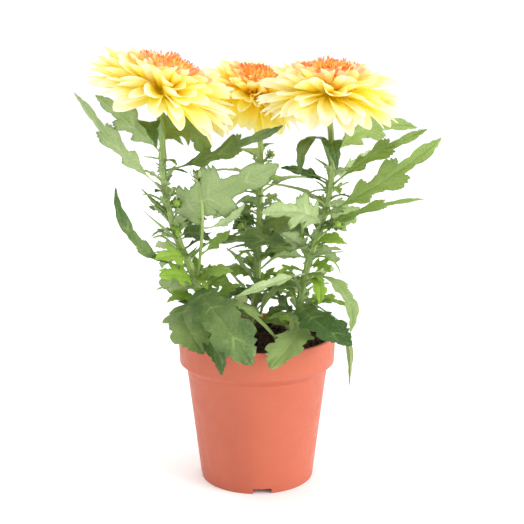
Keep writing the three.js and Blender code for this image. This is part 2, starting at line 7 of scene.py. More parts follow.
import functools
import json
import math
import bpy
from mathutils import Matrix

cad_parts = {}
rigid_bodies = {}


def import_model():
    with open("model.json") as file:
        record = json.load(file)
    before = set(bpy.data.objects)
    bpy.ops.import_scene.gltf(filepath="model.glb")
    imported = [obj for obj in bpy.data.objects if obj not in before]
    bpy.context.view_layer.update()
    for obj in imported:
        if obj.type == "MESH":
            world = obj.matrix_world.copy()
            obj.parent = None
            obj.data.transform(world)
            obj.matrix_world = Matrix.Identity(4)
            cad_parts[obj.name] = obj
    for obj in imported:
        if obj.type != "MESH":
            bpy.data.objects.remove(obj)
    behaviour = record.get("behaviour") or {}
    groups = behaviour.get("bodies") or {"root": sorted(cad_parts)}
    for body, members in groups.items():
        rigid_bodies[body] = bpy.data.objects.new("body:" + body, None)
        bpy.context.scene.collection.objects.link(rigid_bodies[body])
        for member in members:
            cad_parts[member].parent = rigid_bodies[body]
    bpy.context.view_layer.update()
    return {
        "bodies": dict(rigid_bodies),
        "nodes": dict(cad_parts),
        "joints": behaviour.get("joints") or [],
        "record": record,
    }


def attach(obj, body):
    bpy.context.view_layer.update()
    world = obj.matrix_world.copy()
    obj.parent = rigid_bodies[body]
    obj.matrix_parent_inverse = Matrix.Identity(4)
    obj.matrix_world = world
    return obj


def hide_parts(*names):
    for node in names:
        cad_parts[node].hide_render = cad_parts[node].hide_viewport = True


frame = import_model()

from types import SimpleNamespace as Sizes

import bmesh
import bpy
import numpy as np
from mathutils import Matrix, Vector, noise

MM = 0.001
# About a full turn in radians, for random phases.
FULL_TURN = 6.28
GOLDEN_ANGLE = 137.508
# Edges that turn by more than this many degrees are shaded sharp.
SHARP = Sizes(blades=50, pot=35, soil=40)


def table(columns, rows):
    """Rows of values as dictionaries. A row may leave off its last columns."""
    return [dict(zip(columns, row)) for row in rows]


# ---- Camera ----

CAMERA = Sizes(place=(0, -685.2, 296.2), pitch=-10.77, yaw=-0.32, lens=64.03)

# ---- Sizes, most of which the solids have too ----

# The gap that the solids leave between a piece and what carries it.
GAP = 0.3
POT = Sizes(
    height=112, band_radius=58.6, band_bottom=91, step_radius=54, step_bottom=86.5, ledge=0.6,
    ledge_height=0.3, inner_rise=1, foot_radius=43, foot_ring=3.6, foot_depth=5, foot_slope=0.5,
    floor=2, wall=1.5)
LIP = Sizes(radius=60, depth=4, flare=0.7, width=2.8, inside_depth=1.5)
NOTCH = Sizes(count=4, width=14, height=4, bearing=-85, round=1.2, round_steps=4)
DRAIN = Sizes(count=4, radius=4.5, ring=24, sides=40)
SOIL = Sizes(level=106, edge_drop=1.5, gap=0.42, bump=1.6, wave=(0.19, 0.16), slant=1, slant_wave=0.33)
STEM = Sizes(foot=74, straight_top=90, radius=2.6, top_radius=1.9, swell_limit=1.35)
CUP = Sizes(radius=6.5, height=5, neck=2, curve=1.6, rings=12)
LEAF = Sizes(stalk_width=2.6, stalk_thickness=1.8, stalk_start=0.03, fold=9)
PETAL = Sizes(root_radius=5, layer_step=1.6)
CORE = Sizes(bottom=-3, top=14.5)
SHOOT_RADIUS = 1.1

# A bloom leans by its lean toward a bearing. Its petals droop most at the bearing of its sag, and the
# more the greater its limp. gold deepens its yellow.
BLOOMS = table(("name", "centre", "lean", "toward", "sag", "limp", "scale", "turn", "seed", "gold"), [
    ("left", (-66, -33, 288), 19, -14, -42, 1, 1, 10, 11, 0),
    ("right", (50, -29, 286), 8, -75, -80, 1.1, 0.95, 14, 23, 0),
    ("centre", (-2, 48, 286), 20, -60, -90, 1.5, 0.86, 0, 37, 0.35),
])

# Layers of petals, outermost first. peak is where a petal is widest and hook how far its tip bends
# up, as parts of its length, and fold is how steeply its sides are cupped.
LAYER_COLUMNS = ("count", "rise", "droop", "length", "width", "peak", "hook", "fold", "index")
LAYERS = table(LAYER_COLUMNS, [
    (12, 4, 26, 48, 12.5, 0.6, -0.02, 16),
    (11, 9, 20, 49, 13, 0.64, 0.0, 22),
    (10, 17, 4, 45, 12.5, 0.68, 0.03, 30),
    (9, 21, -4, 37, 12, 0.7, 0.06, 36),
    (8, 28, -6, 30, 10.5, 0.7, 0.06, 40),
])
# A petal has this part of its layer's droop, the most on the side where its bloom sags.
SLACK = Sizes(least=0.2, most=1.5)
JITTER = dict(bearing=8, rise=6, length=3)

STEMS = dict(
    left=[
        (-28, -10, 104), (-38, -12, 132), (-48, -16, 163), (-60, -20, 195), (-66, -25, 230),
        (-66, -31, 262)],
    right=[(30, -4, 104), (32, -6, 135), (38, -13, 168), (49, -18, 205), (53, -22, 230), (52, -27, 262)],
    centre=[(-6, 26, 104), (0, 30, 139), (1, 36, 165), (2, 42, 192), (3, 48, 230), (2, 47, 260)],
)

# Side shoots: points from the stem to the bud, with the radius of the bud.
SHOOTS = dict(
    left=[
        ([(-44, -14, 152), (-40, -32, 180), (-38, -37, 206), (-40, -36, 230)], 4.5),
        ([(-63, -22, 208), (-58, -32, 213)], 3.5),
    ],
    right=[
        ([(46, -16, 193), (55, -30, 198)], 3.5),
        ([(38, -13, 168), (34, -16, 181), (33, -18, 204)], 2.5),
    ],
    centre=[
        ([(1, 35, 159), (-5, 28, 176), (-10, 26, 186)], 3.5),
        ([(3, 49, 234), (9, 46, 241)], 3),
    ],
)

# Outline forms of leaves: places of the midrib point and the edge point as parts of the length,
# the half-width as a part of the greatest, and the vein that ends there.
LOBED = [
    (0.2, 0.2, 0.08, 0), (0.27, 0.38, 0.8, 1), (0.4, 0.44, 0.42, 1.5), (0.44, 0.6, 1, 1.9),
    (0.53, 0.68, 0.72, 2.1), (0.62, 0.67, 0.36, 2.5), (0.74, 0.86, 0.42, 3),
]
BROAD = [
    (0.07, 0.07, 0.1, 0), (0.14, 0.18, 0.74, 0.8), (0.3, 0.32, 0.56, 1.3), (0.34, 0.45, 1, 1.8),
    (0.42, 0.54, 0.84, 2.1), (0.54, 0.57, 0.34, 2.5), (0.72, 0.84, 0.42, 3),
]
FAN = [
    (0.1, 0.1, 0.1, 0), (0.2, 0.28, 0.68, 0.9), (0.34, 0.36, 0.58, 1.3), (0.38, 0.52, 1, 1.8),
    (0.5, 0.57, 0.74, 2.2), (0.6, 0.78, 0.94, 2.6), (0.76, 0.92, 0.5, 3),
]
TOOTHED = [(0.22, 0.22, 0.12, 0), (0.38, 0.45, 0.92, 1), (0.5, 0.53, 0.6, 1.5), (0.64, 0.73, 0.74, 2)]
PLAIN = [(0.3, 0.32, 0.8, 0.6), (0.6, 0.62, 1, 1.5)]

# Leaves of each stem. A leaf starts at the height z on its stem, or at the point root on a side shoot.
# Along it the bearing turns by sweep, the rise falls by droop and the roll grows by twist. fresh is
# its youth.
LEAF_COLUMNS = (
    "z", "bearing", "sweep", "rise", "droop", "roll", "length", "width", "form", "fresh", "twist", "root")
LEFT_LEAVES = table(LEAF_COLUMNS, [
    (247, 96, -113, 83, 176, -60, 66, 36, LOBED),
    (248, -127, -33, 39, 0, -60, 66, 21, LOBED),
    (245, 182, 0, 8, 0, 0, 14, 5, PLAIN),
    (251, -146, 105, 92, 175, 0, 60, 15, PLAIN),
    (242, -42, 0, 44, 97, 0, 17, 6, PLAIN),
    (236, -30, 22, 14, -13, -42, 96, 24, LOBED),
    (221, -153, -37, 41, -15, -85, 94, 17, LOBED, 0, 30),
    (205, -38, 25, 21, -6, 72, 95, 44, BROAD),
    (197, -9, 0, 3, -55, 60, 38, 9, TOOTHED, 0, 0, (-39, -37, 197)),
    (196, 105, 68, 21, -26, 0, 45, 9, TOOTHED),
    (191, 80, -10, 30, 68, 0, 62, 26, TOOTHED),
    (187, 52, -22, 27, 72, -40, 34, 22, TOOTHED),
    (184, -132, -31, 38, -8, 0, 39, 8, PLAIN),
    (177, 165, -42, 26, 50, -60, 29, 11, TOOTHED),
    (177, 21, 0, 32, -9, -30, 28, 14, TOOTHED, 0.5, 0, (-40, -30, 177)),
    (169, -94, -58, 36, 49, 40, 41, 22, LOBED, 0.9),
    (166, -147, -32, 5, -87, 60, 89, 13, TOOTHED),
    (163, 110, 15, 29, 76, 0, 64, 30, LOBED),
    (155, -56, 37, 40, 47, -45, 39, 15, TOOTHED, 0.6),
    (156, 46, -24, 0, 40, -40, 40, 24, TOOTHED, 0.3),
    (154, -119, -16, 33, 36, 45, 41, 24, LOBED, 1),
    (148, 169, -32, 8, 10, -80, 35, 24, TOOTHED),
    (149, -86, 55, 6, 60, -24, 97, 36, FAN),
    (142, -32, 32, 9, 72, 0, 72, 23, LOBED),
    (137, -138, 111, 17, 72, -24, 74, 32, FAN),
    (126, -111, 77, 33, 112, 0, 80, 19, FAN),
])
RIGHT_LEAVES = table(LEAF_COLUMNS, [
    (251, -146, 39, 60, 168, 0, 56, 11, PLAIN),
    (242, 64, -58, 41, 52, -60, 91, 24, LOBED, 0.2),
    (235, -111, 40, 100, 185, 0, 64, 14, PLAIN),
    (237, -143, 0, 30, 0, 0, 19, 5, PLAIN),
    (235, -28, 0, 18, 20, 0, 14, 5, PLAIN),
    (234, 58, -19, -9, -52, 60, 52, 22, TOOTHED),
    (225, 169, 23, 36, 33, 30, 39, 15, TOOTHED),
    (224, -44, 54, 40, 18, -60, 82, 16, LOBED, 0.25),
    (210, -141, -21, 39, 39, 0, 57, 18, TOOTHED),
    (206, 76, 0, 18, 51, 0, 66, 28, TOOTHED),
    (204, -52, 71, 26, -14, -65, 104, 25, LOBED, 0.3),
    (192, -88, -91, 41, 50, -70, 71, 29, LOBED),
    (192, 42, 0, 14, -6, -60, 46, 22, TOOTHED),
    (185, -32, 45, 44, 45, -35, 87, 12, LOBED, 0.3),
    (183, 142, 10, 49, 88, 30, 39, 24, TOOTHED),
    (177, -71, 35, 53, 75, -40, 40, 15, TOOTHED, 0.9),
    (176, 183, -21, 23, 38, 40, 75, 20, LOBED),
    (174, -141, -20, 43, 13, -50, 31, 18, TOOTHED),
    (168, -37, 0, 51, 125, 0, 35, 4, PLAIN, 0.9),
    (167, 62, 10, 19, 58, 0, 66, 30, LOBED),
    (159, -120, -52, 7, 31, -75, 66, 11, TOOTHED),
    (157, -19, -26, 17, 128, -20, 66, 16, TOOTHED),
    (152, -45, -59, 35, 101, 0, 40, 14, TOOTHED, 1),
    (146, -150, -20, 40, 139, 0, 48, 17, TOOTHED, 0.2),
    (139, -14, 98, -15, 90, 30, 91, 7, TOOTHED),
    (138, -90, 62, -8, 14, -20, 72, 28, FAN),
    (128, -150, -14, 10, 30, 0, 26, 13, TOOTHED, 0.6),
    (121, -84, -46, 5, 31, 0, 80, 30, FAN),
])
CENTRE_LEAVES = table(LEAF_COLUMNS, [
    (246, 60, 0, 30, 40, 0, 22, 7, PLAIN),
    (236, 110, 0, 34, 50, 0, 46, 24, TOOTHED),
    (222, 200, 0, 36, 50, 0, 44, 22, TOOTHED),
    (212, 35, 0, 34, 50, 0, 56, 28, TOOTHED),
    (197, -121, -28, 72, 115, -30, 34, 20, TOOTHED),
    (186, 130, 0, 30, 60, 0, 62, 30, TOOTHED),
    (188, -132, -24, 35, 77, 30, 28, 18, TOOTHED),
    (174, -13, -26, 79, 115, -45, 45, 28, LOBED),
    (168, 75, 0, 24, 70, 0, 60, 30, LOBED),
    (159, -13, -32, 70, 118, -30, 39, 22, TOOTHED),
    (150, 160, 0, 24, 70, 0, 56, 28, TOOTHED),
    (140, -146, -14, 60, 17, 0, 44, 20, TOOTHED),
    (138, 40, 0, 24, 90, 0, 66, 32, TOOTHED),
    (136, -142, -15, 25, 61, 20, 41, 18, TOOTHED),
    (133, 0, -39, 59, 97, -30, 37, 18, TOOTHED),
    (128, 105, 0, 34, 110, 0, 68, 34, LOBED),
])
LEAVES = dict(left=LEFT_LEAVES, right=RIGHT_LEAVES, centre=CENTRE_LEAVES)


# ---- Points and faces ----

def make_random(seed):
    """The random numbers from 0 to 1 that the solids are made with."""
    factor, step, span = 1664525, 1013904223, 2 ** 32
    state = seed
    while True:
        state = (state * factor + step) % span
        yield state / span


def direction(bearing, rise):
    bearing, rise = np.radians(bearing), np.radians(rise)
    return np.stack([np.cos(rise) * np.cos(bearing), np.cos(rise) * np.sin(bearing), np.sin(rise)], -1)


def unit(vectors):
    return vectors / np.linalg.norm(vectors, axis=-1, keepdims=True)


def add_object(name, data):
    thing = bpy.data.objects.new(name, data)
    bpy.context.scene.collection.objects.link(thing)
    return thing


def dress(mesh, material, sharp):
    mesh.shade_smooth()
    mesh.set_sharp_from_angle(angle=math.radians(sharp))
    mesh.materials.append(material)


class Pile:
    """Points and faces gathered into one mesh. Each point keeps two traits for its material:
    place, which is where it lies on its leaf or petal, and kind, which is what it belongs to."""

    def __init__(self):
        self.points = []
        self.faces = []
        self.place = []
        self.kind = []
        self.count = 0

    def add(self, points, faces, place, kind):
        self.faces += [(group + self.count).tolist() for group in faces]
        self.points.append(points)
        self.place.append(place)
        self.kind.append(kind)
        self.count += len(points)

    def make(self, name, material):
        mesh = bpy.data.meshes.new(name)
        faces = [face for group in self.faces for face in group]
        mesh.from_pydata((np.concatenate(self.points) * MM).tolist(), [], faces)
        for trait in ("place", "kind"):
            values = np.concatenate(getattr(self, trait)).astype(np.float32)
            mesh.attributes.new(trait, "FLOAT_VECTOR", "POINT").data.foreach_set("vector", values.ravel())
        dress(mesh, material, SHARP.blades)
        return add_object(name, mesh)


def carry(piece, node):
    """The piece rides on the plant's one body and stands for a CAD node."""
    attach(piece, "root")
    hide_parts(node)


@functools.lru_cache(maxsize=None)
def sheet_faces(rows, columns):
    """Faces of a closed thin sheet: an upper and a lower side that share their rim, drawn to a point
    at both ends. The points are the root, the upper side, the inside of the lower side, the tip."""
    upper = 1 + np.arange(rows * columns).reshape(rows, columns)
    inside = 1 + rows * columns + np.arange(rows * (columns - 2)).reshape(rows, columns - 2)
    lower = np.hstack([upper[:, :1], inside, upper[:, -1:]])
    tip = inside[-1, -1] + 1
    quads = []
    fans = []
    for side, step in ((upper, 1), (lower, -1)):
        corners = (side[:-1, :-1], side[1:, :-1], side[1:, 1:], side[:-1, 1:])[::step]
        quads.append(np.stack(corners, -1).reshape(-1, 4))
        for end, row, turn in ((0, side[0], step), (tip, side[-1], -step)):
            fans.append(np.stack([np.full(columns - 1, end), row[:-1], row[1:]], -1)[:, ::turn])
    return np.vstack(quads), np.vstack(fans)


def ring_faces(rings, sides):
    """Faces of a tube whose ends are closed by one point each: first, rings, last."""
    grid = 1 + np.arange(rings * sides).reshape(rings, sides)
    turned = np.roll(grid, -1, axis=1)
    last = 1 + rings * sides
    quads = np.stack([grid[:-1], turned[:-1], turned[1:], grid[1:]], -1).reshape(-1, 4)
    starts = np.stack([np.zeros(sides, int), turned[0], grid[0]], -1)
    ends = np.stack([np.full(sides, last), grid[-1], turned[-1]], -1)
    return quads, np.vstack([starts, ends])


# ---- Blades: leaves, bracts, petals and florets ----

MIDRIB_STEPS = 12


def heading(spec, t):
    """The direction of a blade's midrib at parts t of its length, and the two axes across it."""
    bearing = np.radians(spec["bearing"] + spec.get("sweep", 0) * t)
    rise = np.radians(spec["rise"] - spec.get("droop", 0) * t)
    roll = np.radians(spec.get("roll", 0) + spec.get("twist", 0) * t)[..., None]
    flat = [np.cos(bearing), np.sin(bearing)]
    along = np.stack([np.cos(rise) * flat[0], np.cos(rise) * flat[1], np.sin(rise)], -1)
    up = np.stack([-np.sin(rise) * flat[0], -np.sin(rise) * flat[1], np.cos(rise)], -1)
    left = np.stack([-flat[1], flat[0], np.zeros_like(rise)], -1)
    return along, up * np.cos(roll) + left * np.sin(roll), left * np.cos(roll) - up * np.sin(roll)


def midrib(spec, t):
    steps = [heading(spec, t * (i + 0.5) / MIDRIB_STEPS)[0] for i in range(MIDRIB_STEPS)]
    return np.array(spec["root"]) + sum(steps) * (spec["length"] * t / MIDRIB_STEPS)[..., None]


def add_blade(pile, spec, t, x, middle, above, below, vein, kind, frame=None):
    """A closed sheet over a grid of rows along the blade and columns across it: t and x place its
    points, middle bends it, above and below give it thickness. frame turns and moves it at the end."""
    rows, columns = t.shape
    _, normal, side = heading(spec, t)
    surface = midrib(spec, t) + side * x[..., None] + normal * middle[..., None]
    upper = surface + normal * above[..., None]
    lower = surface - normal * below[..., None]
    ends = midrib(spec, np.array([0.0, 1.0]))
    ends[1] += heading(spec, np.array([1.0]))[1][0] * middle[-1, columns // 2]
    points = np.vstack([ends[:1], upper.reshape(-1, 3), lower[:, 1:-1].reshape(-1, 3), ends[1:]])
    if frame is not None:
        points = points @ frame[0].T + frame[1]
    across = np.linspace(-1, 1, columns) * np.ones((rows, 1))
    place = np.stack([across, t, vein], -1)
    place = np.vstack([
        [[0, 0, vein[0, 0]]], place.reshape(-1, 3), place[:, 1:-1].reshape(-1, 3), [[0, 1, vein[-1, 0]]]])
    lower_side = np.zeros(len(points))
    lower_side[1 + rows * columns:-1] = 1
    marks = np.column_stack([lower_side, np.full((len(points), 2), kind)])
    pile.add(points, sheet_faces(rows, columns), place, marks)


OUTLINE_STEPS = 6
# The steps with a notch where a leaf widens and where it narrows, and how much of the width it takes.
TOOTH = Sizes(widening=(3,), narrowing=(2, 4), depth=0.24)
TIP_TAPER = 1.2


def outline(form, stalk):
    """Rows of a leaf, its form rounded into lobes with teeth: the places of the midrib and edge
    points, the half-width, and the vein number, which is whole along the vein of a lobe."""
    start = LEAF.stalk_start
    last_vein = math.floor(form[-1][3]) + 1
    knots = np.array([(start, start, stalk, -0.5), *form, (1, 1, 0, last_vein)])
    ends = np.vstack([knots[0], knots, knots[-1]])
    rows = [knots[0]]
    for i in range(len(knots) - 1):
        p0, p1, p2, p3 = ends[i:i + 4]
        notched = TOOTH.widening if p2[2] > p1[2] else TOOTH.narrowing
        for step in range(1, OUTLINE_STEPS + 1):
            u = step / OUTLINE_STEPS
            bend = (p2 - p0) * u
            bend = bend + (2 * p0 - 5 * p1 + 4 * p2 - p3) * u ** 2
            bend = bend + (3 * (p1 - p2) + p3 - p0) * u ** 3
            row = p1 + bend / 2
            row[3] = p1[3] + (p2[3] - p1[3]) * u
            if i == len(knots) - 2:
                row[2] = p1[2] * (1 - u ** TIP_TAPER)
            if i > 0 and step in notched:
                row[2] *= 1 - TOOTH.depth
            rows.append(row)
    return np.array(rows[:-1]).T


# Leaves longer than this have the finer columns.
LARGE_LEAF = 45
LARGE_COLUMNS = np.array(
    [-1, -0.84, -0.66, -0.46, -0.27, -0.12, -0.04, 0, 0.04, 0.12, 0.27, 0.46, 0.66, 0.84, 1])
SMALL_COLUMNS = np.array([-1, -0.72, -0.4, -0.1, 0, 0.1, 0.4, 0.72, 1])
# Half the thickness of a blade, and its puckers between veins and its waves as parts of its width.
SKIN = 0.22
QUILT = 0.022
LOBE_WAVE = 0.035
# Where the stalk turns into the blade, the groove over the midrib and the rib under it, and the ribs
# under the side veins.
STALK = Sizes(end=0.3, fade=0.2)
MIDRIB = Sizes(round=0.8, groove=0.2, groove_width=0.6, rib=0.75, rib_loss=0.5, rib_width=0.8)
SIDE_RIB = Sizes(height=0.25, width=0.07)


def add_leaf(pile, leaf, rng):
    width = leaf["width"]
    mid, edge, half, vein = (row[:, None] for row in outline(leaf["form"], LEAF.stalk_width / width))
    columns = (LARGE_COLUMNS if leaf["length"] > LARGE_LEAF else SMALL_COLUMNS)[None, :]
    off = np.abs(columns)
    t = mid + (edge - mid) * off
    x = half * columns * width / 2
    reach = np.hypot(x, MIDRIB.round) - MIDRIB.round
    stalk = np.clip((STALK.end - mid) / STALK.fade, 0, 1)
    quilt = QUILT * width * (1 - np.cos(2 * np.pi * vein)) / 2 * np.sin(np.pi * off) * (1 - stalk)
    wave = LOBE_WAVE * width * off ** 2 * np.sin(np.pi * vein + rng.uniform(0, FULL_TURN)) * (1 - stalk)
    fold = math.radians(LEAF.fold)
    middle = reach * math.sin(fold) + quilt + wave
    lens = np.sqrt(1 - off ** 2)
    skin = (SKIN + (LEAF.stalk_thickness / 2 - SKIN) * stalk) * lens
    groove = MIDRIB.groove * np.exp(-(x / MIDRIB.groove_width) ** 2) * (1 - stalk)
    side_rib = np.exp(-((vein - np.round(vein)) / SIDE_RIB.width) ** 2) * (1 - off) * lens
    rib = (MIDRIB.rib - MIDRIB.rib_loss * mid) * np.exp(-(x / MIDRIB.rib_width) ** 2)
    rib = (rib + SIDE_RIB.height * side_rib) * (1 - stalk) * lens
    kind = (rng.uniform(), leaf.get("fresh", 0))
    vein_grid = vein * np.ones_like(t)
    add_blade(pile, leaf, t, x * math.cos(fold), middle, skin - groove * lens, skin + rib, vein_grid, kind)


PETAL_ROWS = 15
PETAL_COLUMNS = np.linspace(-1, 1, 9)
# Powers of a petal's outline and cup, the depths of its tip's notch, ribs and ripples as parts of
# its size, and how much its fold and hook vary.
PETAL_SHAPE = Sizes(
    crowding=1.5, widening=0.75, narrowing=2.4, tip=0.6, cup=1.6, notch=0.035, notch_width=0.3,
    rib=0.016, rib_pace=3, ripple=0.04, ripple_pace=7, fold=(0.7, 1.3), root_fold=1.3, fold_loss=0.6,
    hook=0.03)


def add_petal(pile, petal, rng, frame, kind, rows=PETAL_ROWS, columns=PETAL_COLUMNS):
    """A petal: a strap that widens to its peak and rounds off at the tip, cupped and softly ribbed."""
    shape = PETAL_SHAPE
    s = (1 - (1 - np.arange(1, rows) / rows) ** shape.crowding)[:, None]
    peak = petal["peak"]
    rising = np.sin(np.pi / 2 * np.minimum(s / peak, 1)) ** shape.widening
    falling = (1 - (np.maximum(s - peak, 0) / (1 - peak)) ** shape.narrowing) ** shape.tip
    half = rising * falling * petal["width"] / 2
    c = columns[None, :]
    t = s - rng.uniform(0, shape.notch) * s ** 8 * np.exp(-(c / shape.notch_width) ** 2)
    fold = petal["fold"] * rng.uniform(*shape.fold) * (shape.root_fold - shape.fold_loss * s)
    fold = np.radians(fold)
    x = half * c * np.cos(fold)
    cup = np.sin(fold) * np.abs(c) ** shape.cup * half
    hook = (petal["hook"] + rng.uniform(-shape.hook, shape.hook)) * petal["length"] * s ** 3
    ribs = shape.rib * petal["width"] * np.cos(shape.rib_pace * np.pi * c) * np.sin(np.pi * s)
    phase = shape.ripple_pace * s + rng.uniform(0, FULL_TURN)
    ripple = shape.ripple * petal["width"] * c * np.abs(c) * np.sin(phase)
    skin = SKIN * np.sqrt(1 - c ** 2) * np.ones_like(s)
    vein = half * np.ones_like(t)
    add_blade(pile, petal, t, x, cup + hook + ribs + ripple, skin, skin, vein, kind, frame)


# ---- Blooms ----

def bloom_frame(bloom):
    """The turn and the place of a bloom: its own +Z is its axis, from the middle of its base."""
    toward = math.radians(bloom["toward"])
    hinge = Vector((-math.sin(toward), math.cos(toward), 0))
    turn = np.array(Matrix.Rotation(math.radians(bloom["lean"]), 3, hinge))
    return turn * bloom["scale"], np.array(bloom["centre"], float)


# Rings of narrow petals between the last layer and the crown.
RINGS = table(LAYER_COLUMNS, [
    (30, 35, -10, 25, 5.5, 0.78, 0.08, 46, 5),
    (38, 42, -8, 24, 3.4, 0.8, 0.08, 52, 6),
])
# Petals for each one of the solids, and what those between two layers take from both.
PETALS_PER_SOLID = 3
BLENDED = LAYER_COLUMNS[1:-1]


def slack(bloom, bearing):
    """The part of its layer's droop that a petal has."""
    toward = (1 + math.cos(math.radians(bearing - bloom["sag"]))) / 2
    return bloom["limp"] * (SLACK.least + (SLACK.most - SLACK.least) * toward)


def petal_specs(bloom):
    """The petals of the solids, each with others that lie between it and the next one and layer."""
    numbers = make_random(bloom["seed"])
    for index, layer in enumerate(LAYERS):
        above = LAYERS[min(index + 1, len(LAYERS) - 1)]
        for i in range(layer["count"]):
            jitter = {key: (next(numbers) - 0.5) * span for key, span in JITTER.items()}
            bearing = bloom["turn"] + 360 * (i + 0.5 * index) / layer["count"] + jitter["bearing"]
            for number in range(PETALS_PER_SOLID):
                part = number / PETALS_PER_SOLID
                between = {key: layer[key] + part * (above[key] - layer[key]) for key in BLENDED}
                spec = dict(between, index=index, bearing=bearing + part * 360 / layer["count"])
                spec["rise"] += jitter["rise"]
                spec["length"] += jitter["length"]
                spec["droop"] *= slack(bloom, spec["bearing"])
                yield spec


# How far a petal strays from its layer, either way, and the least and most of its width.
SWAY = dict(bearing=5, rise=5, droop=10, sweep=14, roll=40)
WIDTH_SPREAD = (0.85, 1.15)
# The layers after this one blush at the tip, and each layer is a little deeper in colour.
BLUSH = Sizes(after=3, layers=3, least=0.1)
LAYER_TONE = 0.12
LAST_LAYER_STEP = 5
PETAL_DOME = dict(radius=15, bottom=CORE.bottom, height=14)


def make_bloom(bloom, material):
    pile = Pile()
    rng = np.random.default_rng(bloom["seed"])
    frame = bloom_frame(bloom)
    specs = list(petal_specs(bloom))
    for ring in RINGS:
        specs += [dict(ring, bearing=360 * i / ring["count"]) for i in range(ring["count"])]
    for spec in specs:
        for key, span in SWAY.items():
            spec[key] = spec.get(key, 0) + rng.uniform(-span, span)
        spec["width"] *= rng.uniform(*WIDTH_SPREAD)
        spec["root"] = PETAL.root_radius * direction(spec["bearing"], 0)
        spec["root"][2] = PETAL.layer_step * min(spec["index"], LAST_LAYER_STEP)
        blush = max(0, spec["index"] - BLUSH.after) / BLUSH.layers * rng.uniform(BLUSH.least, 1)
        tone = rng.uniform(0, 1) - bloom["gold"] - LAYER_TONE * spec["index"]
        add_petal(pile, spec, rng, frame, (tone, blush))
    add_dome(pile, frame, **PETAL_DOME)
    carry(pile.make("petals_" + bloom["name"], material), "bloom_" + bloom["name"])


DOME_RINGS = 10
DOME_SIDES = 32
DOME_START = 0.05


def add_dome(pile, frame, radius, bottom, height):
    """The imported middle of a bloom."""
    angle = np.linspace(DOME_START, 1, DOME_RINGS)[:, None] * np.pi / 2
    around = np.arange(DOME_SIDES)[None, :] * 2 * np.pi / DOME_SIDES
    r = radius * np.cos(angle - DOME_START)
    z = bottom + height * np.sin(angle) + 0 * around
    grid = np.stack([r * np.cos(around), r * np.sin(around), z], -1).reshape(-1, 3)
    points = np.vstack([[[0, 0, bottom]], grid, [[0, 0, bottom + height]]]) @ frame[0].T + frame[1]
    flat = np.zeros((len(points), 3))
    pile.add(points, ring_faces(DOME_RINGS, DOME_SIDES), flat, flat)


FLORETS = Sizes(count=340, start=17.5, length=14.8, spread=64, width=1.7, peak=0.75, fold=45)
# Least and most of what varies from floret to floret, and how far the outer ones lose their red.
FLORET_SPREAD = dict(bearing=(-6, 6), rise=(-14, 14), droop=(-80, 40), length=(0.75, 1.05), width=(0.8, 1.2))
FLORET_PALE = Sizes(most=0.85, least=0.2)
FLORET_ROWS = 9
FLORET_COLUMNS = np.linspace(-1, 1, 5)
CROWN_DOME = dict(radius=14, bottom=CORE.top - 3, height=8)


def make_crown(bloom, material):
    """Narrow cupped florets in a spiral over the top of the bloom."""
    pile = Pile()
    rng = np.random.default_rng(bloom["seed"] + 1)
    frame = bloom_frame(bloom)
    for i in range(FLORETS.count):
        polar = FLORETS.spread * math.sqrt((i + 0.5) / FLORETS.count)
        drawn = {key: rng.uniform(*span) for key, span in FLORET_SPREAD.items()}
        bearing = GOLDEN_ANGLE * i + drawn["bearing"]
        edge = polar / FLORETS.spread
        floret = dict(
            bearing=bearing, rise=90 - polar + drawn["rise"], droop=drawn["droop"],
            length=FLORETS.length * drawn["length"], width=FLORETS.width * drawn["width"],
            peak=FLORETS.peak, hook=0.0, fold=FLORETS.fold,
            root=FLORETS.start * direction(bearing, 90 - polar))
        tone = rng.uniform() - bloom["gold"]
        red = 1 - FLORET_PALE.most * edge ** 2 * rng.uniform(FLORET_PALE.least, 1)
        add_petal(pile, floret, rng, frame, (tone, red), FLORET_ROWS, FLORET_COLUMNS)
    add_dome(pile, frame, **CROWN_DOME)
    carry(pile.make("florets_" + bloom["name"], material), "crown_" + bloom["name"])


# ---- Stems, shoots and buds ----

STEM_STEPS = 14
SHOOT_STEPS = 8


def smooth_path(points, steps):
    """The centripetal Catmull-Rom curve through the points, which the solids follow too."""
    points = np.array(points, float)
    ends = np.vstack([2 * points[0] - points[1], points, 2 * points[-1] - points[-2]])
    u = np.linspace(0, 1, steps, endpoint=False)[:, None]
    path = []
    for p0, p1, p2, p3 in zip(ends, ends[1:], ends[2:], ends[3:]):
        d0, d1, d2 = (np.linalg.norm(b - a) ** 0.5 for a, b in ((p0, p1), (p1, p2), (p2, p3)))
        m1 = d1 * ((p1 - p0) / d0 - (p2 - p0) / (d0 + d1) + (p2 - p1) / d1)
        m2 = d1 * ((p2 - p1) / d1 - (p3 - p1) / (d1 + d2) + (p3 - p2) / d2)
        path.append(p1 + m1 * u + (3 * (p2 - p1) - 2 * m1 - m2) * u ** 2 + (2 * (p1 - p2) + m1 + m2) * u ** 3)
    return np.vstack([*path, points[-1:]])


def path_axes(path):
    """Two axes across a path at each of its points, carried along without twisting."""
    along = unit(np.gradient(path, axis=0))
    first = [unit(np.cross(along[0], (0, 1, 0.01)))]
    for heading_there in along[1:]:
        first.append(unit(first[-1] - heading_there * (first[-1] @ heading_there)))
    first = np.array(first)
    return first, np.cross(along, first)


TUBES = dict(
    stem=dict(sides=30, ribs=6, rib_depth=0.07),
    shoot=dict(sides=14, ribs=5, rib_depth=0.06),
    cup=dict(sides=40, ribs=10, rib_depth=0.05),
    bud=dict(sides=20, ribs=10, rib_depth=0.05),
)


